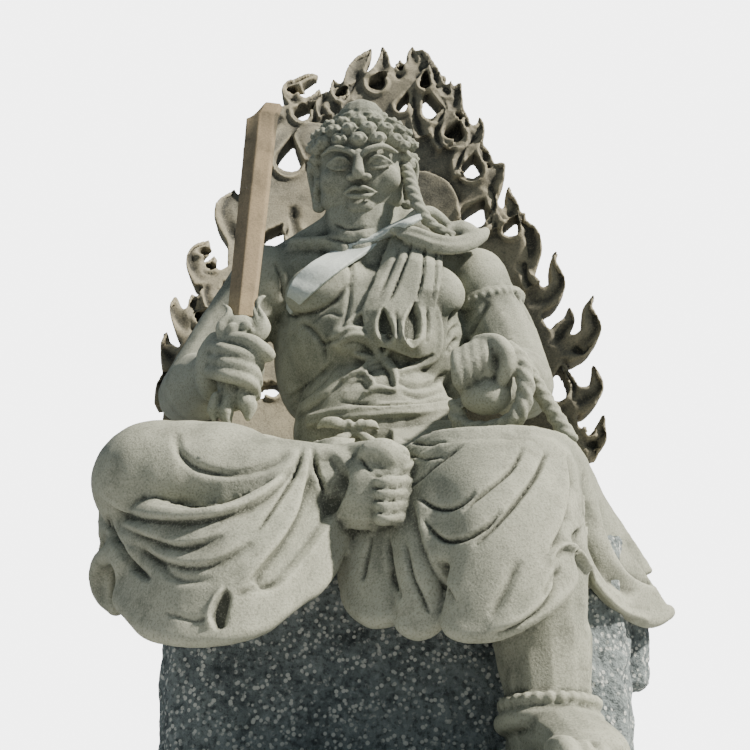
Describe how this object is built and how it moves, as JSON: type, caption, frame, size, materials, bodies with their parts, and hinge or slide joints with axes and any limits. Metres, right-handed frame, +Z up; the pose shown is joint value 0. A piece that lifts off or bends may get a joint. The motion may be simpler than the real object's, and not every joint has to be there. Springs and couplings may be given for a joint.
{
  "type": "stone guardian deity statue",
  "caption": "Seated stone guardian deity on a rough rock, with a raised sword, a rope and a pierced flame screen behind.",
  "frame": {"origin": "on the underside of the rock, below the middle of the figure's seat", "axes": "+X towards the statue's own left, -Y towards its front, +Z up"},
  "size_m": [1.7259, 1.8635, 3.5044],
  "materials": {
    "dark_rock": "rough hewn dark granite with pale specks",
    "granite": "bush-hammered grey-green granite, weathered",
    "flame_stone": "smooth tan and grey stone, weathered",
    "blade_stone": "smooth tan stone"
  },
  "bodies": {
    "root": {"rock_seat": "dark_rock", "figure": "granite", "flame_mandorla": "flame_stone", "sword_blade": "blade_stone"}
  },
  "joints": []
}
